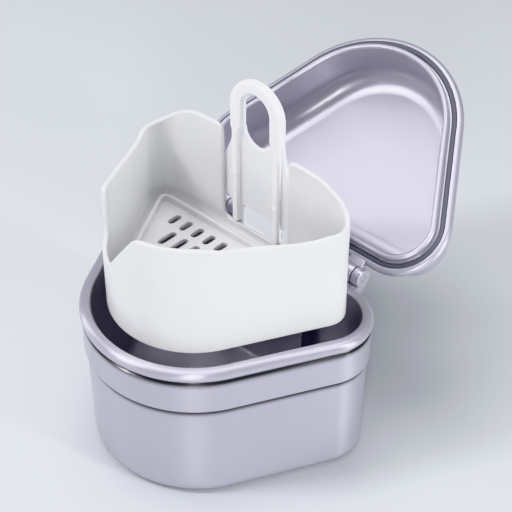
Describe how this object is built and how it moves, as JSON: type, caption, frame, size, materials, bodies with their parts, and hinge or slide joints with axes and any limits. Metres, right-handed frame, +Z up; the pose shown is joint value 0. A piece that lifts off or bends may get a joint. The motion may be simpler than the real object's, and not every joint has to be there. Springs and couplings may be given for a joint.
{
  "type": "denture case",
  "caption": "Denture soaking case: round-fronted tub, hinged lid with a seal ring, and a draining basket raised by an upright handle with a finger loop.",
  "frame": {"origin": "on the flat base, below the middle of the case", "axes": "+Z up; +Y from the round front to the hinge and on to the open lid; +X to the right, seen from the front"},
  "size_m": [0.096, 0.1388, 0.1127],
  "materials": {
    "case_plastic": "satin gloss, moulded",
    "seal": "soft, matt",
    "pin": "drawn wire",
    "basket_plastic": "milky, lets light through",
    "handle_plastic": "milky, lets light through"
  },
  "bodies": {
    "case": {"tub": "case_plastic", "hinge_pin_left": "pin", "hinge_pin_right": "pin"},
    "cover": {"lid": "case_plastic", "lid_seal": "seal"},
    "tray": {"basket": "basket_plastic", "lift_handle": "handle_plastic"}
  },
  "joints": [
    {"name": "lid_hinge", "type": "hinge", "parent": "case", "child": "cover", "pos_m": [0, 0.0393, 0.0514], "axis": [1, 0, 0], "range_deg": [0, 145]},
    {"name": "basket_lift", "type": "slide", "parent": "case", "child": "tray", "axis": [0, 0, 1], "range_m": [-0.049, 0]}
  ],
  "couplings": [
    {"joint": "basket_lift", "follows": "lid_hinge", "m_per_rad": -0.0193}
  ]
}
